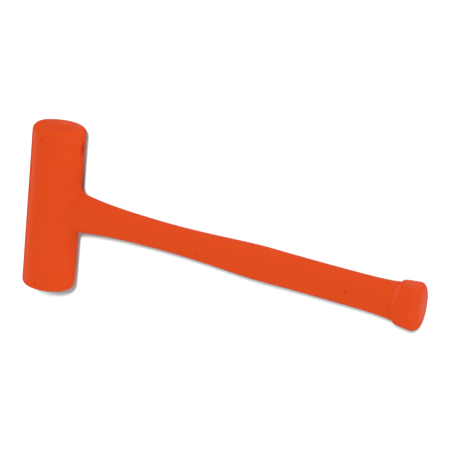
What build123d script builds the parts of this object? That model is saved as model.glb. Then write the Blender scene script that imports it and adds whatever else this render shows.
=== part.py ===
from build123d import *
import math
import os

# A steel-reinforced dead blow mallet, in millimetres, lying on its side.
# Origin: centre of the upper striking face. +Y points out of that face along
# the head, +X runs along the handle from head to butt, +Z is up.

# ---- driving dimensions ------------------------------------------------

# head
HEAD_DIAMETER = 38.1
HEAD_LENGTH = 121.3
FACE_LAND_WIDTH = 6.0
FACE_DRAFT_ANGLE = 3.5
FACE_EDGE_RADIUS = 4.3
PANEL_LENGTH = 64.5
PANEL_WIDTH = 16.8
PANEL_HEIGHT = 0.25

# handle, at distances along X from the head's axis; widths lie along Y
HANDLE_START = 8.0
HANDLE_END = 276.0
HANDLE_SECTIONS = 18
WAIST_HALF_WIDTH = 9.2
WAIST_END = 90.0
GRIP_HALF_WIDTH = 11.4
GRIP_START = 182.0
GRIP_SWELL = 0.4
GRIP_SWELL_MIDDLE = 164.0
GRIP_SWELL_SPREAD = 25.0
NECK_FLARE_WIDTH = 5.6
NECK_FLARE_WIDTH_LENGTH = 26.5
NECK_FLARE_THICKNESS = 2.6
NECK_FLARE_THICKNESS_LENGTH = 21.0
GRIP_END_FLARE = 1.6
GRIP_END_FLARE_LENGTH = 11.2
THICKNESS_TO_WIDTH = 0.835
CORNER_TO_THICKNESS = 0.77

# butt: a ramp steps out of the grip, and an oval body grows towards the end
BUTT_START = 274.5
BUTT_RAMP_LENGTH = 2.5
BUTT_END = 292.0
BUTT_FRONT_HALF_WIDTH = 15.6
BUTT_END_HALF_WIDTH = 17.2
BUTT_THICKNESS_TO_WIDTH = 0.85
BUTT_DRAFT_ANGLE = 5.0
BUTT_END_EDGE_RADIUS = 4.1

# shot canister inside the head
CANISTER_OUTER_DIAMETER = 27.0
CANISTER_WALL = 1.6
CANISTER_LENGTH = 92.0
PLUG_SPIGOT_DEPTH = 6.0
PLUG_FLANGE_THICKNESS = 2.0
STEEL_CHAMFER = 0.5

# steel shot, stacked in close-packed layers across the canister
BALL_DIAMETER = 4.5
BALL_GAP = 0.06
LAYER_COUNT = 17
END_CLEARANCE = 0.10

# handle reinforcement
ROD_DIAMETER = 8.0
ROD_START = 13.6
ROD_END = 286.5
SOCKET_OUTER_DIAMETER = 14.0
SOCKET_END = 34.0
PIN_X = 26.0
PIN_DIAMETER = 3.0
PIN_WALL = 0.6
PIN_SLOT = 0.6
PIN_LENGTH = 12.0

# anchor on the rod inside the butt
WASHER_OUTER_DIAMETER = 20.0
WASHER_INNER_DIAMETER = 8.4
WASHER_THICKNESS = 1.6
WASHER_X = 276.5
NUT_ACROSS_FLATS = 13.0
NUT_THICKNESS = 6.8

# ---- derived dimensions ------------------------------------------------

HEAD_RADIUS = HEAD_DIAMETER / 2
HEAD_HALF = HEAD_LENGTH / 2
HEAD_MIDDLE = -HEAD_HALF
CANISTER_RADIUS = CANISTER_OUTER_DIAMETER / 2
BORE_RADIUS = CANISTER_RADIUS - CANISTER_WALL
CANISTER_HALF = CANISTER_LENGTH / 2
CAVITY_HALF = CANISTER_HALF - PLUG_SPIGOT_DEPTH
SKELETON_HALF = CANISTER_HALF + PLUG_FLANGE_THICKNESS
BALL_RADIUS = BALL_DIAMETER / 2
BALL_PITCH = BALL_DIAMETER + BALL_GAP
LAYER_PITCH = BALL_PITCH * math.sqrt(2 / 3)
CHARGE_LENGTH = (LAYER_COUNT - 1) * LAYER_PITCH + BALL_DIAMETER
SHOT_TRAVEL = 2 * CAVITY_HALF - CHARGE_LENGTH - 2 * END_CLEARANCE
NUT_X = WASHER_X + WASHER_THICKNESS
FACE_LAND_HALF = FACE_LAND_WIDTH / 2
FACE_DROP = (HEAD_RADIUS - FACE_LAND_HALF) * math.tan(math.radians(FACE_DRAFT_ANGLE))
BUTT_DROP = (HEAD_RADIUS - FACE_LAND_HALF) * math.tan(math.radians(BUTT_DRAFT_ANGLE))
HEAD_MIRROR = Plane(origin=(0, HEAD_MIDDLE, 0), z_dir=(0, 1, 0))

os.makedirs("parts", exist_ok=True)


def across_handle(x):
    """Plane across the handle at x, centred on its axis: local x is the part's Y."""
    return Plane(origin=(x, HEAD_MIDDLE, 0), x_dir=(0, 1, 0), z_dir=(1, 0, 0))


def across_head(y):
    """Plane across the head, y from its middle, facing +Y and centred on its axis."""
    return Plane(origin=(0, HEAD_MIDDLE + y, 0), x_dir=(1, 0, 0), z_dir=(0, 1, 0))


def handle_body(x):
    """Half width of the handle before any flare: the waist, then the grip with its slight swell."""
    rise = min(max((x - WAIST_END) / (GRIP_START - WAIST_END), 0.0), 1.0)
    swell = GRIP_SWELL * math.exp(-(((x - GRIP_SWELL_MIDDLE) / GRIP_SWELL_SPREAD) ** 2))
    return WAIST_HALF_WIDTH + (GRIP_HALF_WIDTH - WAIST_HALF_WIDTH) * rise * rise * (3 - 2 * rise) + swell


def handle_half_size(x):
    """Half width and half thickness of the handle, flared at the head and at the grip's end."""
    end = GRIP_END_FLARE * math.exp((x - BUTT_START) / GRIP_END_FLARE_LENGTH)
    neck_width = NECK_FLARE_WIDTH * math.exp((HEAD_RADIUS - x) / NECK_FLARE_WIDTH_LENGTH)
    neck_thickness = NECK_FLARE_THICKNESS * math.exp((HEAD_RADIUS - x) / NECK_FLARE_THICKNESS_LENGTH)
    half_width = handle_body(x) + neck_width + end
    half_thickness = THICKNESS_TO_WIDTH * handle_body(x) + neck_thickness + end
    return half_width, half_thickness


def rounded_section(half_width, half_thickness):
    """Rounded rectangle drawn in the active sketch."""
    corner = CORNER_TO_THICKNESS * min(half_width, half_thickness)
    RectangleRounded(2 * half_width, 2 * half_thickness, corner)


# ---- shot canister -----------------------------------------------------

with BuildPart() as canister_tube:
    with BuildSketch(across_head(-CANISTER_HALF)):
        Circle(CANISTER_RADIUS)
        Circle(BORE_RADIUS, mode=Mode.SUBTRACT)
    extrude(amount=CANISTER_LENGTH)
canister_tube.part.label = "canister_tube"

# end plug: a chamfered spigot inside the tube and a flange over its end
with BuildPart() as upper_plug:
    with BuildSketch(across_head(CAVITY_HALF)):
        Circle(BORE_RADIUS)
    extrude(amount=PLUG_SPIGOT_DEPTH)
    chamfer(faces().sort_by(Axis.Y)[0].edges(), STEEL_CHAMFER)
    with BuildSketch(across_head(CANISTER_HALF)):
        Circle(CANISTER_RADIUS)
    extrude(amount=PLUG_FLANGE_THICKNESS)
upper_plug.part.label = "upper_plug"

with BuildPart() as lower_plug:
    add(mirror(upper_plug.part, about=HEAD_MIRROR, mode=Mode.PRIVATE))
lower_plug.part.label = "lower_plug"

# ---- handle reinforcement ----------------------------------------------

# socket: a boss coped to the canister, bored for the rod and the cross pin
with BuildPart() as rod_socket:
    with BuildSketch(across_handle(0)):
        Circle(SOCKET_OUTER_DIAMETER / 2)
    extrude(amount=SOCKET_END)
    chamfer(faces().sort_by(Axis.X)[-1].edges(), STEEL_CHAMFER)
    with BuildSketch(across_head(-CANISTER_HALF)):
        Circle(CANISTER_RADIUS)
    extrude(amount=CANISTER_LENGTH, mode=Mode.SUBTRACT)
    with Locations(across_handle(SOCKET_END)):
        Hole(ROD_DIAMETER / 2)
    with Locations(Plane(origin=(PIN_X, HEAD_MIDDLE, SOCKET_OUTER_DIAMETER))):
        Hole(PIN_DIAMETER / 2)
rod_socket.part.label = "rod_socket"

with BuildPart() as handle_rod:
    with BuildSketch(across_handle(ROD_START)):
        Circle(ROD_DIAMETER / 2)
    extrude(amount=ROD_END - ROD_START)
    chamfer(edges().filter_by(GeomType.CIRCLE), STEEL_CHAMFER)
    with Locations(Plane(origin=(PIN_X, HEAD_MIDDLE, ROD_DIAMETER))):
        Hole(PIN_DIAMETER / 2)
handle_rod.part.label = "handle_rod"

# slotted spring pin through the socket and the rod
with BuildPart() as cross_pin:
    with BuildSketch(Plane(origin=(PIN_X, HEAD_MIDDLE, -PIN_LENGTH / 2))):
        Circle(PIN_DIAMETER / 2)
        Circle(PIN_DIAMETER / 2 - PIN_WALL, mode=Mode.SUBTRACT)
        with Locations((PIN_DIAMETER / 2, 0)):
            Rectangle(PIN_DIAMETER, PIN_SLOT, mode=Mode.SUBTRACT)
    extrude(amount=PIN_LENGTH)
cross_pin.part.label = "cross_pin"

with BuildPart() as anchor_washer:
    with BuildSketch(across_handle(WASHER_X)):
        Circle(WASHER_OUTER_DIAMETER / 2)
        Circle(WASHER_INNER_DIAMETER / 2, mode=Mode.SUBTRACT)
    extrude(amount=WASHER_THICKNESS)
anchor_washer.part.label = "anchor_washer"

with BuildPart() as anchor_nut:
    with BuildSketch(across_handle(NUT_X)):
        RegularPolygon(NUT_ACROSS_FLATS / 2, 6, major_radius=False)
        Circle(ROD_DIAMETER / 2, mode=Mode.SUBTRACT)
    extrude(amount=NUT_THICKNESS)
anchor_nut.part.label = "anchor_nut"

# ---- cast urethane jacket ----------------------------------------------

with BuildPart() as jacket:
    # raised panel on each side of the head: a stadium that follows the barrel
    with BuildSketch(Plane(origin=(0, HEAD_MIDDLE, 0))):
        SlotOverall(PANEL_LENGTH, PANEL_WIDTH, rotation=90)
    extrude(amount=HEAD_DIAMETER, both=True)
    with BuildSketch(across_head(-HEAD_HALF)):
        Circle(HEAD_RADIUS + PANEL_HEIGHT)
    extrude(amount=HEAD_LENGTH, mode=Mode.INTERSECT)

    # head: a barrel, whose faces draft away from a flat land on both sides
    with BuildSketch(across_head(-HEAD_HALF)):
        Circle(HEAD_RADIUS)
    extrude(amount=HEAD_LENGTH)
    for end, inward in ((0, -1), (-HEAD_LENGTH, 1)):
        for side in (1, -1):
            with BuildSketch(Plane.YZ):
                with BuildLine():
                    Polyline(
                        (end, side * FACE_LAND_HALF),
                        (end + inward * FACE_DROP, side * HEAD_RADIUS),
                        (end + inward * FACE_DROP, side * HEAD_DIAMETER),
                        (end - inward, side * HEAD_DIAMETER),
                        (end - inward, side * FACE_LAND_HALF),
                        close=True,
                    )
                make_face()
            extrude(amount=HEAD_DIAMETER, both=True, mode=Mode.SUBTRACT)
    upper_edges = edges().filter_by_position(Axis.Y, -FACE_DROP, 0)
    lower_edges = edges().filter_by_position(Axis.Y, -HEAD_LENGTH, FACE_DROP - HEAD_LENGTH)
    end_edges = upper_edges + lower_edges
    fillet(end_edges - end_edges.filter_by(GeomType.LINE), FACE_EDGE_RADIUS)

    # handle: evenly spaced rounded rectangles that flare into the head
    section_spacing = (HANDLE_END - HANDLE_START) / (HANDLE_SECTIONS - 1)
    for index in range(HANDLE_SECTIONS):
        section_x = HANDLE_START + index * section_spacing
        with BuildSketch(across_handle(section_x)):
            rounded_section(*handle_half_size(section_x))
    loft()

    # butt: a ramp out of the grip, then an oval body that grows towards its drafted end
    ramp_end = BUTT_START + BUTT_RAMP_LENGTH
    for start, start_size, end, end_size in (
        (
            BUTT_START,
            handle_half_size(BUTT_START),
            ramp_end,
            (BUTT_FRONT_HALF_WIDTH, BUTT_THICKNESS_TO_WIDTH * BUTT_FRONT_HALF_WIDTH),
        ),
        (
            ramp_end,
            (BUTT_FRONT_HALF_WIDTH, BUTT_THICKNESS_TO_WIDTH * BUTT_FRONT_HALF_WIDTH),
            BUTT_END,
            (BUTT_END_HALF_WIDTH, BUTT_THICKNESS_TO_WIDTH * BUTT_END_HALF_WIDTH),
        ),
    ):
        for section_x, half_size in ((start, start_size), (end, end_size)):
            with BuildSketch(across_handle(section_x)):
                Ellipse(*half_size)
        loft()
    for side in (1, -1):
        with BuildSketch(Plane.XZ):
            with BuildLine():
                Polyline(
                    (BUTT_END, side * FACE_LAND_HALF),
                    (BUTT_END - BUTT_DROP, side * HEAD_RADIUS),
                    (BUTT_END + 1, side * HEAD_RADIUS),
                    (BUTT_END + 1, side * FACE_LAND_HALF),
                    close=True,
                )
            make_face()
        extrude(amount=2 * HEAD_LENGTH, both=True, mode=Mode.SUBTRACT)
    end_edges = edges().filter_by_position(Axis.X, BUTT_END - BUTT_DROP, BUTT_END)
    fillet(end_edges - end_edges.filter_by(GeomType.LINE), BUTT_END_EDGE_RADIUS)

    # the space that the cast-in steel skeleton fills
    with BuildSketch(across_head(-SKELETON_HALF)):
        Circle(CANISTER_RADIUS)
    extrude(amount=2 * SKELETON_HALF, mode=Mode.SUBTRACT)
    for start, end, diameter in (
        (0, SOCKET_END, SOCKET_OUTER_DIAMETER),
        (0, ROD_END, ROD_DIAMETER),
        (WASHER_X, NUT_X, WASHER_OUTER_DIAMETER),
    ):
        with BuildSketch(across_handle(start)):
            Circle(diameter / 2)
        extrude(amount=end - start, mode=Mode.SUBTRACT)
    with BuildSketch(across_handle(NUT_X)):
        RegularPolygon(NUT_ACROSS_FLATS / 2, 6, major_radius=False)
    extrude(amount=NUT_THICKNESS, mode=Mode.SUBTRACT)
jacket.part.label = "jacket"

# ---- steel shot --------------------------------------------------------


def layer_centres(layer):
    """Ball centres (x, z) of one close-packed layer; odd layers sit in the hollows of even ones."""
    shift = BALL_PITCH / math.sqrt(3) if layer % 2 else 0.0
    reach = BORE_RADIUS - BALL_RADIUS - BALL_GAP
    centres = []
    for row in range(-3, 4):
        for column in range(-4, 5):
            x = BALL_PITCH * (column + row % 2 / 2)
            z = BALL_PITCH * row * math.sqrt(3) / 2 + shift
            if math.hypot(x, z) <= reach:
                centres.append((x, z))
    return centres


shot_layers = []
first_layer_y = HEAD_MIDDLE - CAVITY_HALF + END_CLEARANCE + BALL_RADIUS
for layer in range(LAYER_COUNT):
    layer_y = first_layer_y + layer * LAYER_PITCH
    with BuildPart() as shot_layer:
        with Locations([(x, layer_y, z) for x, z in layer_centres(layer)]):
            Sphere(BALL_RADIUS)
    shot_layer.part.label = f"shot_layer_{layer + 1:02d}"
    shot_layers.append(shot_layer.part)

# ---- files -------------------------------------------------------------

pieces = [
    jacket.part,
    canister_tube.part,
    upper_plug.part,
    lower_plug.part,
    rod_socket.part,
    cross_pin.part,
    handle_rod.part,
    anchor_washer.part,
    anchor_nut.part,
] + shot_layers
for piece in pieces:
    export_step(piece, f"parts/{piece.label}.step")

ball_count = sum(len(layer.solids()) for layer in shot_layers)
print("balls", ball_count, "charge length", round(CHARGE_LENGTH, 3), "travel", round(SHOT_TRAVEL, 3))
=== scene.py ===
import math

import bmesh
import bpy
import numpy as np
from mathutils import Matrix, Vector, noise


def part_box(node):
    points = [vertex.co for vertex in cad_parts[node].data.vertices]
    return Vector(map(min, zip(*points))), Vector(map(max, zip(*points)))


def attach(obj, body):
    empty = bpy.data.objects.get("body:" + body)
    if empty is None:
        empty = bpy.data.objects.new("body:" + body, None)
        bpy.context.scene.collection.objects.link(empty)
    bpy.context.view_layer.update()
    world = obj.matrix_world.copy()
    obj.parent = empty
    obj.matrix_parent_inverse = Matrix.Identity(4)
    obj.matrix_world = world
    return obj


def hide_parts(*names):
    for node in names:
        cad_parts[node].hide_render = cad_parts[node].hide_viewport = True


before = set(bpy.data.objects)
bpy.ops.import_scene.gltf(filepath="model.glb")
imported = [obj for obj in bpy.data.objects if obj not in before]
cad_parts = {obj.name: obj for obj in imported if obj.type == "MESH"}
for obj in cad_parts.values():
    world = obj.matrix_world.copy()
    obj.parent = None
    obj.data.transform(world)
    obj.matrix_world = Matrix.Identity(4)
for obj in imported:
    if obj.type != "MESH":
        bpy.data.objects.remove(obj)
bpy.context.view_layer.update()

# A dead blow mallet: one urethane casting of head, handle and butt over a steel skeleton.
# Lengths below are in millimetres, measured from the middle of the head: x along the handle,
# y along the head and z up, with the mallet lying on its side. MM turns them into metres.
MM = 0.001
jacket_low, jacket_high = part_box("jacket")
HEAD_MIDDLE_Y = (jacket_low.y + jacket_high.y) / 2 / MM
HEAD_HALF_LENGTH = (jacket_high.y - jacket_low.y) / 2 / MM
HEAD_RADIUS = -jacket_low.x / MM
BUTT_END = jacket_high.x / MM

# The thin parting line where the two halves of the mould met stands this proud of the casting. On
# the rounded edge of each face it fades out, over PARTING_FADE from where the edge begins.
PARTING_HEIGHT = 0.07
PARTING_HALF_WIDTH = 0.30
PARTING_FADE = (0.5, 3.0)

# Head: each face has a flat land across it, along the handle, and drafts away on both sides, with a
# rounded bend between. A raised panel with round ends and a sloping rim lies on its top and another
# on its underside.
FACE_LAND_HALF = 3.0
LAND_ROUNDING = 0.3
FACE_DRAFT = math.tan(math.radians(3.5))
FACE_EDGE_RADIUS = 4.3
PANEL_HALF_LENGTH = 32.25
PANEL_HALF_WIDTH = 8.4
PANEL_HEIGHT = 0.22
PANEL_RAMP = 0.7

# Handle: a waist that widens to the grip, flared into the neck at one end and the butt at the other
WAIST_HALF_WIDTH = 9.2
WAIST_END = 90.0
GRIP_HALF_WIDTH = 11.4
GRIP_START = 182.0
GRIP_SWELL = 0.4
GRIP_SWELL_MIDDLE = 164.0
GRIP_SWELL_SPREAD = 25.0
THICKNESS_TO_WIDTH = 0.835
HANDLE_SQUARENESS = 2.7
NECK_FLARE_WIDTH = 5.6
NECK_FLARE_WIDTH_LENGTH = 26.5
NECK_FLARE_THICKNESS = 2.6
NECK_FLARE_THICKNESS_LENGTH = 21.0
NECK_FILLET_RADIUS = 8.0
GRIP_END_FLARE = 1.6
GRIP_END_FLARE_LENGTH = 11.2

# Butt: a ramp steps out of the grip and runs a little past its length as it levels off. The body
# widens towards the end, which has a rounded edge and drafts away above and below its middle.
BUTT_START = 274.5
BUTT_RAMP_LENGTH = 2.5
BUTT_RAMP_OVERRUN = 1.4
BUTT_RAMP_SOFTNESS = 0.02
BUTT_FRONT_HALF_WIDTH = 15.3
BUTT_END_HALF_WIDTH = 17.2
BUTT_THICKNESS_TO_WIDTH = 0.85
BUTT_SQUARENESS = 2.15
BUTT_EDGE_RADIUS = 4.1
BUTT_DRAFT = math.tan(math.radians(5.0))

# Pebbled grip and butt: the pebbles fade out towards the waist, the end of the butt and the parting
# line. PEBBLE_LEVEL is the share of their height that lies below the plain surface.
PEBBLE_PITCH = 1.5
PEBBLE_HEIGHT = 0.11
PEBBLE_START = 138.0
PEBBLE_FULL = 158.0
PEBBLE_TO_BUTT_END = (6.0, 2.5)
PEBBLE_TO_PARTING = (0.5, 1.3)
PEBBLE_GROOVE = 0.55
PEBBLE_LEVEL = 0.6

# Pin marks left by the supports that hold the steel in the mould. On the head each is given by how
# far round it stands from the top, away from the handle, and by its y; on the handle by its x and y.
# Each has a twin on the underside. Its wall falls between the PIN_MARK_WALL shares of its radius.
PIN_MARKS_HEAD = ((2.2, 52.0), (-1.0, -54.8))
PIN_MARKS_HANDLE = ((125.0, -3.6), (240.3, -0.3))
PIN_MARK_RADIUS = 0.85
PIN_MARK_DEPTH = 0.65
PIN_MARK_WALL = (0.78, 1.02)

# Mesh layout: how many points, rows, columns and rings the stretches of the surface have, and where
# some of them lie
LOOP = 192
BARREL_ROWS = 55
NECK_HALF_U = 20.5
NECK_ROWS = 28
PANEL_ROWS = 32
NECK_COLUMNS = 20
PANEL_COLUMNS = 18
BACK_COLUMNS = 20
FACE_EDGE_RINGS = 8
FACE_RINGS = 26
NECK_FOOT_PASSES = 60
NECK_EDGE_RINGS = 8
NECK_EDGE_CROWDING = 0.85
NECK_FILLET_RINGS = 13
WAIST_START = 33.0
WAIST_RINGS = 82
GRIP_RINGS = 236
GRIP_TO_BUTT = 0.2
BUTT_RAMP_RINGS = 15
BUTT_BODY_RINGS = 14
BUTT_EDGE_RINGS = 12
BUTT_END_RINGS = 22
PIN_MARK_BLOCK = 2
PIN_MARK_HANDLE_REACH = 2.4
PIN_MARK_HANDLE_COLUMNS = 6
PIN_MARK_OUTER_RING = 1.35
PIN_MARK_RINGS = (1.1, 1.0, 0.9, 0.8, 0.45)
PANEL_OUTER_RING = -0.9
PANEL_RINGS = (-0.45, -0.25, 0.0, 0.25, 0.45, 1.4, 2.4, 3.6, 4.8, 6.0)
PANEL_SEAM_OVERRUN = 1.5


def smooth(start, end, value):
    """0 before start, 1 after end, and a smooth step between."""
    share = np.clip((np.asarray(value, float) - start) / (end - start), 0.0, 1.0)
    return share * share * (3.0 - 2.0 * share)


class Skin:
    """The points and faces of one closed surface."""

    def __init__(self):
        self.blocks = []
        self.faces = []
        self.count = 0

    def add(self, points):
        """Adds points and gives their numbers."""
        points = np.asarray(points, float).reshape(-1, 3)
        self.blocks.append(points)
        self.count += len(points)
        return np.arange(self.count - len(points), self.count)

    def bridge(self, outer, inner):
        """Quads between two closed loops of the same length."""
        self.faces.append(np.stack([outer, np.roll(outer, -1), np.roll(inner, -1), inner], 1))

    def ring(self, loop, points):
        """Adds a closed loop of points, joins the last loop to it and gives its numbers."""
        following = self.add(points)
        self.bridge(loop, following)
        return following

    def cap(self, loop, point):
        """Triangles from a closed loop to one point."""
        centre = self.add([point])[0]
        following = np.roll(loop, -1)
        self.faces.append(np.stack([loop, following, np.full_like(loop, centre)], 1))

    def grid(self, ids, keep):
        """Quads over a grid of numbers, rows by columns, where keep is true."""
        quads = np.stack([ids[:-1, :-1], ids[:-1, 1:], ids[1:, 1:], ids[1:, :-1]], -1)
        self.faces.append(quads[keep])


def border(ids, rows, columns):
    """The closed loop of numbers round a block of a grid, given by its first and last row and column."""
    (top, bottom), (left, right) = rows, columns
    return np.concatenate([
        ids[top, left:right],
        ids[top:bottom, right],
        ids[bottom, right:left:-1],
        ids[bottom:top:-1, left],
    ])


# ---- head: a grid round the barrel, with blocks left open for the neck, the panels and the pin marks

RADIUS = HEAD_RADIUS - PARTING_HEIGHT
HALF_ROUND = math.pi * RADIUS
PANEL_U = HALF_ROUND / 2
GRID_TO_FACE = 3.2
GRID_HALF = HEAD_HALF_LENGTH - GRID_TO_FACE
HEAD_COLUMNS = 2 * (NECK_COLUMNS + PANEL_COLUMNS + BACK_COLUMNS)


def draft_drop(z, slope):
    """How far a drafted face stands back at height z: next to nothing on its land, then growing evenly."""
    beyond = np.abs(z) - FACE_LAND_HALF
    return slope * 0.5 * (beyond + np.sqrt(beyond ** 2 + LAND_ROUNDING))


def edge_start(turn):
    """Where the barrel ends and the face's rounded edge begins, and the angle that the edge turns through."""
    height = np.abs(RADIUS * np.sin(turn))
    slope = FACE_DRAFT * np.abs(np.sin(turn)) * smooth(0, 1, height / FACE_LAND_HALF)
    inner = (RADIUS - FACE_EDGE_RADIUS) * np.sin(turn)
    start = HEAD_HALF_LENGTH - draft_drop(inner, FACE_DRAFT) - FACE_EDGE_RADIUS * np.sqrt(1 + slope ** 2)
    return start, math.pi / 2 - np.arctan(slope)


def on_barrel(u, reach):
    """Points of the head: u goes round it from the handle's side towards +Z, and reach goes from its
    middle along its side and round the edge of its face."""
    turn = u / RADIUS
    start = edge_start(turn)[0]
    angle = np.maximum(np.abs(reach) - start, 0) / FACE_EDGE_RADIUS
    radius = RADIUS - FACE_EDGE_RADIUS * (1 - np.cos(angle))
    y = np.sign(reach) * np.where(angle > 0, start + FACE_EDGE_RADIUS * np.sin(angle), np.abs(reach))
    return np.stack([radius * np.cos(turn), y, radius * np.sin(turn)], -1)


def head_column_positions():
    """u of each column of the head's grid, from the back, through the handle's side, to the back."""
    panel_far = 2 * PANEL_U - NECK_HALF_U
    half = np.concatenate([
        np.linspace(0, NECK_HALF_U, NECK_COLUMNS, endpoint=False),
        np.linspace(NECK_HALF_U, panel_far, PANEL_COLUMNS, endpoint=False),
        np.linspace(panel_far, HALF_ROUND, BACK_COLUMNS + 1),
    ])
    return np.concatenate([-half[::-1], half[1:]])


def blend_loops(skin, loop, loop_uv, target_uv, lift, shares):
    """Loops at these shares of the way from a border to a curve inside it. Gives the last one's numbers."""
    for share in shares:
        uv = loop_uv + (target_uv - loop_uv) * share
        loop = skin.ring(loop, lift(uv[:, 0], uv[:, 1]))
    return loop


def pin_mark(skin, loop, loop_uv, centre, lift):
    """Fills a small block with rings about a round pin mark, close together at the mark's wall."""
    offset = loop_uv - centre
    angle = np.arctan2(offset[:, 1], offset[:, 0])
    unit = np.stack([np.cos(angle), np.sin(angle)], -1)
    outer = centre + unit * PIN_MARK_RADIUS * PIN_MARK_OUTER_RING
    loop = blend_loops(skin, loop, loop_uv, outer, lift, (0.5, 1.0))
    for share in PIN_MARK_RINGS:
        uv = centre + unit * PIN_MARK_RADIUS * share
        loop = skin.ring(loop, lift(uv[:, 0], uv[:, 1]))
    skin.cap(loop, lift(np.array([centre[0]]), np.array([centre[1]]))[0])


def panel_outline(count, inset):
    """count points of the panel's outline, inset by that much, from its +Y end towards +u."""
    straight = PANEL_HALF_LENGTH - PANEL_HALF_WIDTH
    quarter = math.pi / 2 * PANEL_HALF_WIDTH
    along = np.arange(count) / count * (4 * quarter + 4 * straight)
    half_way = 2 * quarter + 2 * straight
    mirrored = along > half_way
    along = np.where(mirrored, 2 * half_way - along, along)
    radius = PANEL_HALF_WIDTH - inset
    first = along < quarter
    last = along > quarter + 2 * straight
    angle = np.where(first, along, along - 2 * straight) / PANEL_HALF_WIDTH
    u = np.where(first | last, radius * np.sin(angle), radius)
    y = np.where(first, straight + radius * np.cos(angle),
                 np.where(last, -straight + radius * np.cos(angle), straight - (along - quarter)))
    return np.stack([np.where(mirrored, -u, u), y], -1)


def add_panel(skin, loop, loop_uv, side):
    """Fills a block with rings along the raised panel's outline, down to a seam along its middle."""
    count = len(loop)
    middle = np.array([side * PANEL_U, 0.0])
    ring_uv = middle + panel_outline(count, PANEL_OUTER_RING)
    loop = blend_loops(skin, loop, loop_uv, ring_uv, on_barrel, (1.0,))
    for inset in PANEL_RINGS:
        uv = middle + panel_outline(count, inset)
        loop = skin.ring(loop, on_barrel(uv[:, 0], uv[:, 1]))
    reach = PANEL_HALF_LENGTH - PANEL_HALF_WIDTH + PANEL_SEAM_OVERRUN
    seam_y = reach * np.cos(np.linspace(0, math.pi, count // 2 + 1))
    seam_y = 0.5 * seam_y + 0.5 * np.clip(uv[: count // 2 + 1, 1], -reach, reach)
    seam = skin.add(on_barrel(np.full(len(seam_y), middle[0]), seam_y))
    skin.bridge(loop, np.concatenate([seam, seam[-2:0:-1]]))


def add_face(skin, loop, side):
    """Closes one end of the head: the rest of its rounded edge, then its face."""
    columns = head_column_positions()[:-1]
    start, edge_turn = edge_start(columns / RADIUS)
    end = start + FACE_EDGE_RADIUS * edge_turn
    for share in np.linspace(0, 1, FACE_EDGE_RINGS)[1:]:
        loop = skin.ring(loop, on_barrel(columns, side * (GRID_HALF + (end - GRID_HALF) * share)))
    rim = on_barrel(columns, side * end)
    for share in np.linspace(1, 0, FACE_RINGS)[1:-1]:
        points = rim * share
        points[:, 1] = side * (HEAD_HALF_LENGTH - draft_drop(points[:, 2], FACE_DRAFT))
        loop = skin.ring(loop, points)
    skin.cap(loop, (0.0, side * (HEAD_HALF_LENGTH - draft_drop(0.0, FACE_DRAFT)), 0.0))


def add_head(skin):
    """The head with its faces, panels and pin marks. Gives the loop left open for the neck, and its u, y."""
    columns = head_column_positions()
    rows = np.linspace(GRID_HALF, -GRID_HALF, 2 * BARREL_ROWS + 1)
    u, y = np.meshgrid(columns[:-1], rows)
    ids = skin.add(on_barrel(u, y)).reshape(u.shape)
    ids = np.concatenate([ids, ids[:, :1]], 1)
    keep = np.ones((2 * BARREL_ROWS, HEAD_COLUMNS), bool)

    def block(row_half, row_middle, column_start, column_end):
        """Leaves a block of the grid open, and gives the loop round it with its u and y."""
        top, bottom = row_middle - row_half, row_middle + row_half
        keep[top:bottom, column_start:column_end] = False
        shift = -((column_end - column_start) // 2)
        loop, row, column = (
            np.roll(border(table, (top, bottom), (column_start, column_end)), shift)
            for table in (ids, *np.indices(ids.shape)))
        return loop, np.stack([columns[column], rows[row]], -1)

    half = HEAD_COLUMNS // 2
    for side in (1, -1):
        near = half + side * NECK_COLUMNS
        far = near + side * PANEL_COLUMNS
        add_panel(skin, *block(PANEL_ROWS, BARREL_ROWS, min(near, far), max(near, far)), side)
        for mark_shift, mark_y in PIN_MARKS_HEAD:
            mark_u = side * (PANEL_U + mark_shift)
            mark_row = int(np.argmin(abs(rows - mark_y)))
            mark_column = int(np.argmin(abs(columns - mark_u)))
            loop, uv = block(PIN_MARK_BLOCK, mark_row, mark_column - PIN_MARK_BLOCK,
                             mark_column + PIN_MARK_BLOCK)
            pin_mark(skin, loop, uv, np.array([mark_u, mark_y]), on_barrel)
    neck = block(NECK_ROWS, BARREL_ROWS, half - NECK_COLUMNS, half + NECK_COLUMNS)
    skin.grid(ids, keep)
    add_face(skin, ids[0, :-1], 1)
    add_face(skin, ids[-1, :-1], -1)
    return neck


# ---- handle: rings along it, from the neck's fillet to the end of the butt

TURNS = np.arange(LOOP) * 2 * math.pi / LOOP


def handle_size(x):
    """Half width and half thickness of the handle at x."""
    body = WAIST_HALF_WIDTH + (GRIP_HALF_WIDTH - WAIST_HALF_WIDTH) * smooth(WAIST_END, GRIP_START, x)
    body = body + GRIP_SWELL * np.exp(-((x - GRIP_SWELL_MIDDLE) / GRIP_SWELL_SPREAD) ** 2)
    end = GRIP_END_FLARE * np.exp((x - BUTT_START) / GRIP_END_FLARE_LENGTH)
    width = body + NECK_FLARE_WIDTH * np.exp((HEAD_RADIUS - x) / NECK_FLARE_WIDTH_LENGTH) + end
    thickness = (THICKNESS_TO_WIDTH * body + end
                 + NECK_FLARE_THICKNESS * np.exp((HEAD_RADIUS - x) / NECK_FLARE_THICKNESS_LENGTH))
    return width, thickness


def section(turn, x, width, thickness, power):
    """Points of a section across the handle, each at the angle turn from +Y towards +Z."""
    cosine, sine = np.cos(turn), np.sin(turn)
    reach = (np.abs(cosine / width) ** power + np.abs(sine / thickness) ** power) ** (-1 / power)
    return np.stack([np.broadcast_to(x, reach.shape), reach * cosine, reach * sine], -1)


def on_handle(turn, x):
    """Points of the handle's surface."""
    return section(turn, x, *handle_size(x), HANDLE_SQUARENESS)


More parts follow.
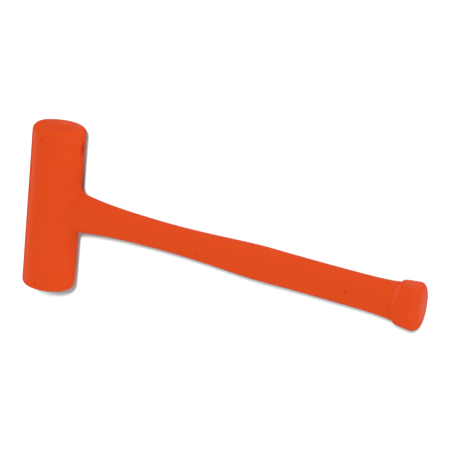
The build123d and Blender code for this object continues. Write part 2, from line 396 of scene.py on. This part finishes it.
def handle_height(x, y):
    """Height of the handle's surface above the middle plane at x and y."""
    width, thickness = handle_size(x)
    return thickness * (1 - np.abs(y / width) ** HANDLE_SQUARENESS) ** (1 / HANDLE_SQUARENESS)


def add_neck(skin, loop, loop_uv):
    """Fillet between the head's barrel and the handle, rolled round it. Gives the last loop and its x."""
    x = np.full(LOOP, HEAD_RADIUS)
    for _ in range(NECK_FOOT_PASSES):
        x = np.sqrt(RADIUS ** 2 - on_handle(TURNS, x)[:, 2] ** 2)
    foot = on_handle(TURNS, x)

    # the angle between the two surfaces where they meet gives the fillet's width and fullness
    step = 0.001
    along = on_handle(TURNS, x + step) - foot
    around = on_handle(TURNS + step, x) - foot
    handle_normal = np.cross(around, along)
    handle_normal /= np.linalg.norm(handle_normal, axis=1)[:, None]
    zeros = np.zeros(LOOP)
    outward = np.stack([zeros, np.cos(TURNS), np.sin(TURNS)], -1)
    handle_normal *= np.sign((handle_normal * outward).sum(1))[:, None]
    head_normal = np.stack([foot[:, 0], zeros, foot[:, 2]], -1) / RADIUS
    turn = np.arccos(np.clip((handle_normal * head_normal).sum(1), -1, 1))
    reach = NECK_FILLET_RADIUS * np.tan(turn / 2)
    pull = 4 / 3 * NECK_FILLET_RADIUS * np.tan(turn / 4)

    # its edge on the barrel
    foot_uv = np.stack([RADIUS * np.arctan2(foot[:, 2], foot[:, 0]), foot[:, 1]], -1)
    tangent = np.roll(foot_uv, -1, 0) - np.roll(foot_uv, 1, 0)
    normal = np.stack([-tangent[:, 1], tangent[:, 0]], -1)
    normal /= np.linalg.norm(normal, axis=1)[:, None]
    normal *= np.sign((normal * foot_uv).sum(1))[:, None]
    edge_uv = foot_uv + normal * reach[:, None]

    shares = np.linspace(0, 1, NECK_EDGE_RINGS)[1:] ** NECK_EDGE_CROWDING
    loop = blend_loops(skin, loop, loop_uv, edge_uv, on_barrel, shares)

    # a curve from there to the handle, which leaves each surface along it
    step = 0.01
    start = on_barrel(edge_uv[:, 0], edge_uv[:, 1])
    inward_uv = edge_uv - normal * step
    start_pull = on_barrel(inward_uv[:, 0], inward_uv[:, 1]) - start
    start_pull *= (pull / np.linalg.norm(start_pull, axis=1))[:, None]
    end_x = x + reach
    end = on_handle(TURNS, end_x)
    end_pull = on_handle(TURNS, end_x - step) - end
    end_pull *= (pull / np.linalg.norm(end_pull, axis=1))[:, None]
    for share in np.linspace(0, 1, NECK_FILLET_RINGS)[1:]:
        rest = 1 - share
        points = (rest ** 3 * start + 3 * rest ** 2 * share * (start + start_pull)
                  + 3 * rest * share ** 2 * (end + end_pull) + share ** 3 * end)
        loop = skin.ring(loop, points)
    return loop, end_x


def add_handle(skin, loop, loop_x):
    """The waist and grip, with their pin marks. Gives the last loop."""
    for share in (0.25, 0.5, 0.75, 1.0):
        loop = skin.ring(loop, on_handle(TURNS, loop_x + (WAIST_START - loop_x) * share))
    stations = np.concatenate([
        np.linspace(WAIST_START, PEBBLE_START, WAIST_RINGS, endpoint=False)[1:],
        np.linspace(PEBBLE_START, BUTT_START - GRIP_TO_BUTT, GRIP_RINGS),
    ])
    rings = np.stack([skin.add(on_handle(TURNS, x)) for x in stations])
    ids = np.concatenate([rings, rings[:, :1]], 1)
    keep = np.ones((len(stations) - 1, LOOP), bool)
    skin.bridge(loop, rings[0])
    for mark_x, mark_y in PIN_MARKS_HANDLE:
        middle = int(np.argmin(abs(stations - mark_x)))
        spacing = stations[middle + 1] - stations[middle]
        rows_half = max(2, round(PIN_MARK_HANDLE_REACH / spacing))
        turn = math.atan2(handle_height(mark_x, mark_y), mark_y)
        column_up = round(turn / (2 * math.pi) * LOOP)
        for side, column in ((1, column_up), (-1, LOOP - column_up)):
            top, bottom = middle - rows_half, middle + rows_half
            left, right = column - PIN_MARK_HANDLE_COLUMNS, column + PIN_MARK_HANDLE_COLUMNS
            keep[top:bottom, left:right] = False
            mark_loop = border(ids, (top, bottom), (left, right))
            xy = np.concatenate(skin.blocks)[mark_loop][:, :2]

            def lift(px, py, side=side):
                """Points of the handle on the mark's side, at px and py."""
                return np.stack([px, py, side * handle_height(px, py)], -1)

            pin_mark(skin, mark_loop, xy, np.array([mark_x, mark_y]), lift)
    skin.grid(ids, keep)
    return rings[-1]


def add_butt(skin, loop):
    """The butt: a ramp that steps out of the grip, a flared body and an end that drafts like the faces."""
    end_x = BUTT_END - PARTING_HEIGHT

    def butt_width(x):
        """Half width of the butt at x."""
        return BUTT_FRONT_HALF_WIDTH + (BUTT_END_HALF_WIDTH - BUTT_FRONT_HALF_WIDTH) * (
            (x - BUTT_START) / (BUTT_END - BUTT_START))

    rings = []
    grip_width, grip_thickness = handle_size(BUTT_START)
    for share in np.linspace(0.02, BUTT_RAMP_OVERRUN, BUTT_RAMP_RINGS):
        x = BUTT_START + BUTT_RAMP_LENGTH * share
        rise = 0.5 * (1 + share - math.sqrt((1 - share) ** 2 + BUTT_RAMP_SOFTNESS))
        width = grip_width + (butt_width(x) - grip_width) * rise
        thickness = grip_thickness + (BUTT_THICKNESS_TO_WIDTH * butt_width(x) - grip_thickness) * rise
        power = HANDLE_SQUARENESS + (BUTT_SQUARENESS - HANDLE_SQUARENESS) * min(rise, 1.0)
        rings.append((x, width, thickness, power, 0.0))
    body_start = BUTT_START + BUTT_RAMP_LENGTH * BUTT_RAMP_OVERRUN
    body_end = end_x - BUTT_EDGE_RADIUS
    for x in np.linspace(body_start, body_end, BUTT_BODY_RINGS)[1:]:
        shift = smooth(body_start, body_end, x)
        rings.append((x, butt_width(x), BUTT_THICKNESS_TO_WIDTH * butt_width(x), BUTT_SQUARENESS, shift))
    width, thickness = rings[-1][1:3]
    for turn in np.linspace(0, math.pi / 2, BUTT_EDGE_RINGS)[1:]:
        x = body_end + BUTT_EDGE_RADIUS * math.sin(turn)
        inset = BUTT_EDGE_RADIUS * (1 - math.cos(turn))
        rings.append((x, width - inset, thickness - inset, BUTT_SQUARENESS, 1.0))
    width, thickness = rings[-1][1:3]
    for share in np.linspace(1, 0, BUTT_END_RINGS)[1:-1]:
        rings.append((end_x, width * share, thickness * share, BUTT_SQUARENESS, 1.0))
    for x, width, thickness, power, shift in rings:
        points = section(TURNS, x, width, thickness, power)
        points[:, 0] -= shift * draft_drop(points[:, 2], BUTT_DRAFT)
        loop = skin.ring(loop, points)
    skin.cap(loop, (end_x - draft_drop(0.0, BUTT_DRAFT), 0.0, 0.0))


# ---- relief

def pin_mark_depth(distance):
    """Depth of a pin mark at a distance from its middle."""
    return PIN_MARK_DEPTH * (1 - smooth(*PIN_MARK_WALL, distance / PIN_MARK_RADIUS))


def relief(points):
    """How far each point stands out along its normal: panels, pin marks, parting line and pebbles."""
    x, y, z = points.T
    out = np.zeros(len(points))
    on_head = (np.hypot(x, z) < RADIUS + 0.01) & (np.abs(y) < GRID_HALF)

    u = RADIUS * np.abs(np.arctan2(z, x))
    beyond = np.maximum(np.abs(y) - (PANEL_HALF_LENGTH - PANEL_HALF_WIDTH), 0)
    distance = np.hypot(u - PANEL_U, beyond) - PANEL_HALF_WIDTH
    raised = 1 - smooth(-PANEL_RAMP / 2, PANEL_RAMP / 2, distance)
    out += np.where(on_head, PANEL_HEIGHT * raised, 0)

    for mark_shift, mark_y in PIN_MARKS_HEAD:
        distance = np.hypot(u - PANEL_U - mark_shift, y - mark_y)
        out -= np.where(on_head, pin_mark_depth(distance), 0)
    for mark_x, mark_y in PIN_MARKS_HANDLE:
        out -= pin_mark_depth(np.hypot(x - mark_x, y - mark_y))

    edge = HEAD_HALF_LENGTH - FACE_EDGE_RADIUS
    off_face = 1 - smooth(edge + PARTING_FADE[0], edge + PARTING_FADE[1], np.abs(y))
    out += PARTING_HEIGHT * off_face * (1 - smooth(0.0, PARTING_HALF_WIDTH, np.abs(z)))

    pebbled = smooth(PEBBLE_START, PEBBLE_FULL, x) * smooth(*PEBBLE_TO_PARTING, np.abs(z))
    pebbled *= 1 - smooth(BUTT_END - PEBBLE_TO_BUTT_END[0], BUTT_END - PEBBLE_TO_BUTT_END[1], x)
    for index in np.nonzero(pebbled > 0.001)[0]:
        near, next_near = noise.voronoi(Vector(points[index]) / PEBBLE_PITCH)[0][:2]
        dome = min((next_near - near) / PEBBLE_GROOVE, 1.0)
        out[index] += PEBBLE_HEIGHT * pebbled[index] * (dome * (2 - dome) - PEBBLE_LEVEL)
    return out


# ---- the casting as one mesh

def build_casting():
    """The whole casting as a smooth-shaded object in metres, with its relief laid on it."""
    skin = Skin()
    neck_loop, neck_uv = add_head(skin)
    loop, loop_x = add_neck(skin, neck_loop, neck_uv)
    loop = add_handle(skin, loop, loop_x)
    add_butt(skin, loop)

    # the points left inside the open blocks are dropped, and the rest numbered afresh
    points = np.concatenate(skin.blocks)
    used = np.zeros(len(points), bool)
    used[np.concatenate([block.ravel() for block in skin.faces])] = True
    points = points[used]
    number = np.cumsum(used) - 1
    faces = [face for block in skin.faces for face in number[block].reshape(-1, block.shape[-1]).tolist()]

    mesh = bpy.data.meshes.new("casting")
    mesh.from_pydata(points.tolist(), [], faces)
    work = bmesh.new()
    work.from_mesh(mesh)
    bmesh.ops.recalc_face_normals(work, faces=work.faces)
    work.to_mesh(mesh)
    work.free()
    mesh.update()
    normals = np.zeros(len(points) * 3)
    mesh.vertex_normals.foreach_get("vector", normals)
    normals = normals.reshape(-1, 3)
    points = points + normals * relief(points)[:, None]
    points[:, 1] += HEAD_MIDDLE_Y
    mesh.vertices.foreach_set("co", (points * MM).ravel())
    mesh.polygons.foreach_set("use_smooth", np.ones(len(mesh.polygons), bool))
    mesh.update()
    solid = bpy.data.objects.new("casting", mesh)
    bpy.context.scene.collection.objects.link(solid)
    return solid


casting = build_casting()
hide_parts("jacket")
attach(casting, "mallet")


# ---- materials

# A spot on a material is at full strength out to this share of its radii.
SPOT_CORE = 0.35


class Look:
    """A material with one Principled shader, and the patterns in the object's own space that feed it."""

    def __init__(self, name, base, roughness, metallic=0.0):
        self.material = bpy.data.materials.new(name)
        self.material.use_nodes = True
        self.nodes = self.material.node_tree.nodes
        self.links = self.material.node_tree.links
        self.shader = self.nodes["Principled BSDF"]
        self.shader.inputs["Base Color"].default_value = (*base, 1)
        self.shader.inputs["Roughness"].default_value = roughness
        self.shader.inputs["Metallic"].default_value = metallic

    def mapped(self, location, scale):
        """The object's own coordinates, scaled and then moved."""
        coordinates = self.nodes.new("ShaderNodeTexCoord")
        mapping = self.nodes.new("ShaderNodeMapping")
        mapping.vector_type = "POINT"
        mapping.inputs["Location"].default_value = location
        mapping.inputs["Scale"].default_value = scale
        self.links.new(coordinates.outputs["Object"], mapping.inputs["Vector"])
        return mapping.outputs["Vector"]

    def noise(self, scale, detail=3.0, stretch=(1, 1, 1)):
        """A noise pattern of that many cycles to the metre."""
        pattern = self.nodes.new("ShaderNodeTexNoise")
        pattern.inputs["Scale"].default_value = scale
        pattern.inputs["Detail"].default_value = detail
        self.links.new(self.mapped((0, 0, 0), stretch), pattern.inputs["Vector"])
        return pattern.outputs["Fac"]

    def spread(self, value, low, high, to_low, to_high):
        """value from low..high turned into to_low..to_high, and held at the ends."""
        remap = self.nodes.new("ShaderNodeMapRange")
        sockets = ("From Min", "From Max", "To Min", "To Max")
        for socket, number in zip(sockets, (low, high, to_low, to_high)):
            remap.inputs[socket].default_value = number
        self.links.new(value, remap.inputs["Value"])
        return remap.outputs["Result"]

    def product(self, first, second):
        """first times second."""
        times = self.nodes.new("ShaderNodeMath")
        times.operation = "MULTIPLY"
        self.links.new(first, times.inputs[0])
        self.links.new(second, times.inputs[1])
        return times.outputs["Value"]

    def mix(self, factor, first, second):
        """first where factor is 0 and second where it is 1; each is a colour or a link."""
        blend = self.nodes.new("ShaderNodeMix")
        blend.data_type = "RGBA"
        self.links.new(factor, blend.inputs["Factor"])
        colour_inputs = [socket for socket in blend.inputs if socket.type == "RGBA"]
        for socket, colour in zip(colour_inputs, (first, second)):
            if isinstance(colour, tuple):
                socket.default_value = (*colour, 1)
            else:
                self.links.new(colour, socket)
        return [socket for socket in blend.outputs if socket.type == "RGBA"][0]

    def spot(self, centre, radii):
        """1 in the core of a spot, falling to 0 at its edge; in millimetres from the head's middle."""
        scale = [1 / (radius * MM) for radius in radii]
        centre = (centre[0], centre[1] + HEAD_MIDDLE_Y, centre[2])
        location = [-place * MM * factor for place, factor in zip(centre, scale)]
        length = self.nodes.new("ShaderNodeVectorMath")
        length.operation = "LENGTH"
        self.links.new(self.mapped(location, scale), length.inputs[0])
        return self.spread(length.outputs["Value"], SPOT_CORE, 1.0, 1.0, 0.0)

    def bumps(self, layers):
        """Stacks bump layers: (height, distance in metres, strength)."""
        below = None
        for height, distance, strength in layers:
            bump = self.nodes.new("ShaderNodeBump")
            bump.inputs["Distance"].default_value = distance
            bump.inputs["Strength"].default_value = strength
            self.links.new(height, bump.inputs["Height"])
            if below is not None:
                self.links.new(below, bump.inputs["Normal"])
            below = bump.outputs["Normal"]
        self.links.new(below, self.shader.inputs["Normal"])

    def feed(self, socket, value):
        """Links a pattern to one of the shader's inputs."""
        self.links.new(value, self.shader.inputs[socket])


URETHANE = (0.703, 0.0690, 0.0122)
URETHANE_DARKER = (0.696, 0.0676, 0.0118)
URETHANE_LIGHTER = (0.710, 0.0704, 0.0126)
URETHANE_SPECK = (0.722, 0.078, 0.017)
# pale specks painted as glints on the grip's pebbles
PAINTED_PEBBLE_GLINT = (0.75, 0.105, 0.055)
# pale wear for the head's scratches, also used as a painted highlight on the butt's rim
PALE_WEAR_AND_HIGHLIGHT = (0.73, 0.088, 0.034)
# a mottled painted reflection on the butt's end
END_REFLECTION_PALE = (0.72, 0.130, 0.088)


def urethane_material():
    """Matt cast urethane: orange-red, faintly mottled and grained, with pale wear and a dark rub, and painted
    glints, highlights and reflections on the grip and the butt.
    """
    look = Look("urethane", URETHANE, 0.5)
    look.shader.inputs["Specular IOR Level"].default_value = 0.01
    look.shader.inputs["Sheen Weight"].default_value = 0.1
    look.shader.inputs["Sheen Roughness"].default_value = 0.3
    look.shader.inputs["Sheen Tint"].default_value = (0.80, 0.0, 0.02, 1)
    broad = look.noise(38.0, 2.0)
    fine = look.noise(900.0, 4.0)
    grain = look.noise(2600.0, 2.0)
    scuffs = look.noise(260.0, 5.0, (1, 0.12, 1))

    # the casting's own colour, with painted glints: pale specks on pebble tops along the upper side of the
    # grip, where a light would catch them
    colour = look.mix(look.spread(broad, 0.35, 0.65, 0, 1), URETHANE_DARKER, URETHANE_LIGHTER)
    colour = look.mix(look.spread(fine, 0.62, 0.74, 0, 0.35), colour, URETHANE_SPECK)
    glint_specks = look.spread(look.noise(760.0, 1.0), 0.64, 0.70, 0.0, 0.6)
    glint_line = look.spot((208.0, 6.2, 7.8), (100.0, 3.4, 4.0))
    colour = look.mix(look.product(glint_specks, glint_line), colour, PAINTED_PEBBLE_GLINT)

    # marks on the head: a dark rub and a nick on the handle's side, and scratches near the upper face
    colour = look.mix(look.spot((18.6, 46.0, -3.6), (4.0, 7.0, 5.0)), colour, (0.55, 0.028, 0.013))
    colour = look.mix(look.spot((17.9, -35.5, 6.5), (1.2, 1.6, 1.2)), colour, (0.73, 0.085, 0.024))
    scratches = look.spread(look.noise(420.0, 3.0, (0.25, 2.2, 0.25)), 0.56, 0.62, 0.0, 1.0)
    shoulder = look.spot((14.5, 57.0, 8.0), (8.0, 4.0, 8.0))
    colour = look.mix(look.product(scratches, shoulder), colour, PALE_WEAR_AND_HIGHLIGHT)

    # the butt: a painted highlight along its rim, a painted reflection along its upper side and a mottled
    # painted reflection along its end
    # painted highlight along the rim of the butt
    colour = look.mix(look.spot((277.6, 10.0, 9.5), (1.2, 11.0, 8.0)), colour, PALE_WEAR_AND_HIGHLIGHT)
    # painted reflection along the butt's upper side
    colour = look.mix(look.spot((285.0, 17.0, 2.0), (10.0, 4.5, 9.0)), colour, (0.73, 0.088, 0.040))
    # mottled painted reflection on the butt's end
    reflection_mottling = look.spread(look.noise(700.0, 2.0), 0.40, 0.58, 0.2, 1.0)
    end_reflection_band = look.spot((BUTT_END, 2.0, -6.5), (4.5, 20.0, 11.5))
    colour = look.mix(look.product(reflection_mottling, end_reflection_band), colour, END_REFLECTION_PALE)

    look.feed("Base Color", colour)
    look.feed("Roughness", look.spread(scuffs, 0.35, 0.7, 0.28, 0.38))
    look.bumps([
        (broad, 0.0004, 0.10),
        (fine, 0.00012, 0.25),
        (grain, 0.00005, 0.20),
    ])
    return look.material


def steel_material(name, base, roughness, grain_stretch, grain_scale, stain):
    """Steel with fine tool marks along one direction, uneven polish and thin oil stains."""
    look = Look(name, base, roughness, 1.0)
    marks = look.noise(grain_scale, 3.0, grain_stretch)
    clouds = look.noise(120.0, 4.0)
    look.feed("Base Color", look.mix(look.spread(clouds, 0.45, 0.75, 0, 1), base, stain))
    look.feed("Roughness", look.spread(marks, 0.3, 0.7, roughness - 0.08, roughness + 0.14))
    look.bumps([(marks, 0.00006, 0.35), (clouds, 0.0001, 0.08)])
    return look.material


casting.data.materials.append(urethane_material())

turned = steel_material("turned_steel", (0.42, 0.42, 0.43), 0.32, (1, 9, 1), 500.0, (0.30, 0.28, 0.26))
drawn = steel_material("drawn_steel", (0.30, 0.30, 0.31), 0.42, (0.05, 1, 1), 2200.0, (0.22, 0.20, 0.19))
blackened = steel_material("spring_steel", (0.13, 0.13, 0.14), 0.45, (1, 1, 0.05), 1800.0, (0.09, 0.08, 0.08))
plated = steel_material("zinc_plate", (0.62, 0.64, 0.66), 0.28, (1, 1, 1), 900.0, (0.52, 0.54, 0.58))
burnished = steel_material("shot_steel", (0.50, 0.50, 0.51), 0.24, (1, 1, 1), 1400.0, (0.36, 0.34, 0.31))

STEEL_OF_NODE = {
    "canister_tube": turned,
    "upper_plug": turned,
    "lower_plug": turned,
    "rod_socket": turned,
    "handle_rod": drawn,
    "cross_pin": blackened,
    "anchor_washer": plated,
    "anchor_nut": plated,
}
for node_name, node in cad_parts.items():
    if node_name != "jacket":
        node.data.materials.clear()
        node.data.materials.append(STEEL_OF_NODE.get(node_name, burnished))


# ---- floor, light and camera

FLOOR_COLOUR = (0.240, 0.254, 0.255)
WORLD_STRENGTH = 0.925

# The mallet rests on its head's lower panel and the thinner butt, so the floor rises towards the butt.
# It reaches FLOOR_HALF metres each way.
FLOOR_HALF = 6.0
butt_half_thickness = BUTT_THICKNESS_TO_WIDTH * BUTT_END_HALF_WIDTH
floor_tilt = math.atan2(HEAD_RADIUS - butt_half_thickness, BUTT_END)
floor_corners = [
    (-FLOOR_HALF, -FLOOR_HALF, 0),
    (FLOOR_HALF, -FLOOR_HALF, 0),
    (FLOOR_HALF, FLOOR_HALF, 0),
    (-FLOOR_HALF, FLOOR_HALF, 0),
]
floor_mesh = bpy.data.meshes.new("floor")
floor_mesh.from_pydata(floor_corners, [], [(0, 1, 2, 3)])
floor = bpy.data.objects.new("floor", floor_mesh)
floor.location = (0, HEAD_MIDDLE_Y * MM, -(HEAD_RADIUS + PANEL_HEIGHT) * MM)
floor.rotation_euler = (0, -floor_tilt, 0)
bpy.context.scene.collection.objects.link(floor)
floor_look = Look("floor", FLOOR_COLOUR, 0.9)
floor_look.shader.inputs["Specular IOR Level"].default_value = 0.0
floor_mesh.materials.append(floor_look.material)
# The floor bounces no light onto the casting, keeps none of the world's light from it and does not
# show in its gloss.
floor.visible_glossy = False
floor.visible_diffuse = False

world = bpy.data.worlds.new("studio")
bpy.context.scene.world = world
world.use_nodes = True
background = world.node_tree.nodes["Background"]
background.inputs["Color"].default_value = (1, 1, 1, 1)
background.inputs["Strength"].default_value = WORLD_STRENGTH
world.cycles_visibility.glossy = False


def group_of(name, objects):
    """A collection of these objects, for a light to be linked to."""
    group = bpy.data.collections.new(name)
    for obj in objects:
        group.objects.link(obj)
    return group


def add_light(name, towards, strength, angle, receivers=(), blockers=(), gloss_only=False):
    """A sun: towards is the direction it stands in, and its angle in degrees sets its shadows' softness.
    Where receivers or blockers are named, it lights or is shaded by those alone. With gloss_only it
    only adds reflections."""
    data = bpy.data.lights.new(name, "SUN")
    data.energy = strength
    data.angle = math.radians(angle)
    lamp = bpy.data.objects.new(name, data)
    lamp.rotation_mode = "QUATERNION"
    lamp.rotation_quaternion = Vector(towards).to_track_quat("Z", "Y")
    lamp.visible_diffuse = not gloss_only
    bpy.context.scene.collection.objects.link(lamp)
    if receivers:
        lamp.light_linking.receiver_collection = group_of(name + "_receivers", receivers)
    if blockers:
        lamp.light_linking.blocker_collection = group_of(name + "_blockers", blockers)


on_casting = {"receivers": (casting,)}
on_floor = {"receivers": (floor,)}
reflected = {"receivers": (casting,), "gloss_only": True}

add_light("key", (0.33, 0.40, 0.86), 0.20, 30.0)
add_light("side_fill", (0.60, -0.70, 0.38), 0.28, 60.0, **on_casting)
add_light("right_fill", (0.85, 0.40, -0.05), 0.40, 60.0, **on_casting)
add_light("left_fill", (-0.95, -0.15, 0.25), 0.33, 30.0, **on_casting)
add_light("back_fill", (-0.10, 0.95, -0.05), 0.28, 40.0, **on_casting)
add_light("left_strip", (-0.95, -0.20, 0.00), 0.8, 25.0, **reflected)
add_light("back_strip", (0.20, 0.85, 0.48), 1.2, 20.0, **reflected)
add_light("table_glow", (-0.45, 0.12, -0.88), 0.055, 12.0, blockers=(casting,), **reflected)
add_light("floor_fill", (0.330, 0.415, 0.848), 14.5, 9.0, **on_floor)
add_light("floor_side_fill", (0.80, -0.35, 0.50), 3.5, 40.0, **on_floor)

# The camera's place in millimetres, and the directions behind it and to its right.
CAMERA_LENS = 179.18
CAMERA_PLACE = (828.94, 501.89 + HEAD_MIDDLE_Y, 1285.83)
CAMERA_BACK = (0.44843, 0.31367, 0.83698)
CAMERA_RIGHT = (0.86259, 0.09348, -0.49719)

camera_data = bpy.data.cameras.new("camera")
camera_data.sensor_width = 36.0
camera_data.lens = CAMERA_LENS
camera_data.clip_start = 0.05
camera_data.clip_end = 20.0
camera = bpy.data.objects.new("camera", camera_data)
bpy.context.scene.collection.objects.link(camera)
camera_back = Vector(CAMERA_BACK).normalized()
camera_right = Vector(CAMERA_RIGHT)
camera_right = (camera_right - camera_right.dot(camera_back) * camera_back).normalized()
camera_up = camera_back.cross(camera_right)
camera_turn = Matrix((camera_right, camera_up, camera_back)).transposed().to_4x4()
camera.matrix_world = Matrix.Translation(Vector(CAMERA_PLACE) * MM) @ camera_turn
bpy.context.scene.camera = camera
bpy.context.scene.view_settings.view_transform = "Standard"
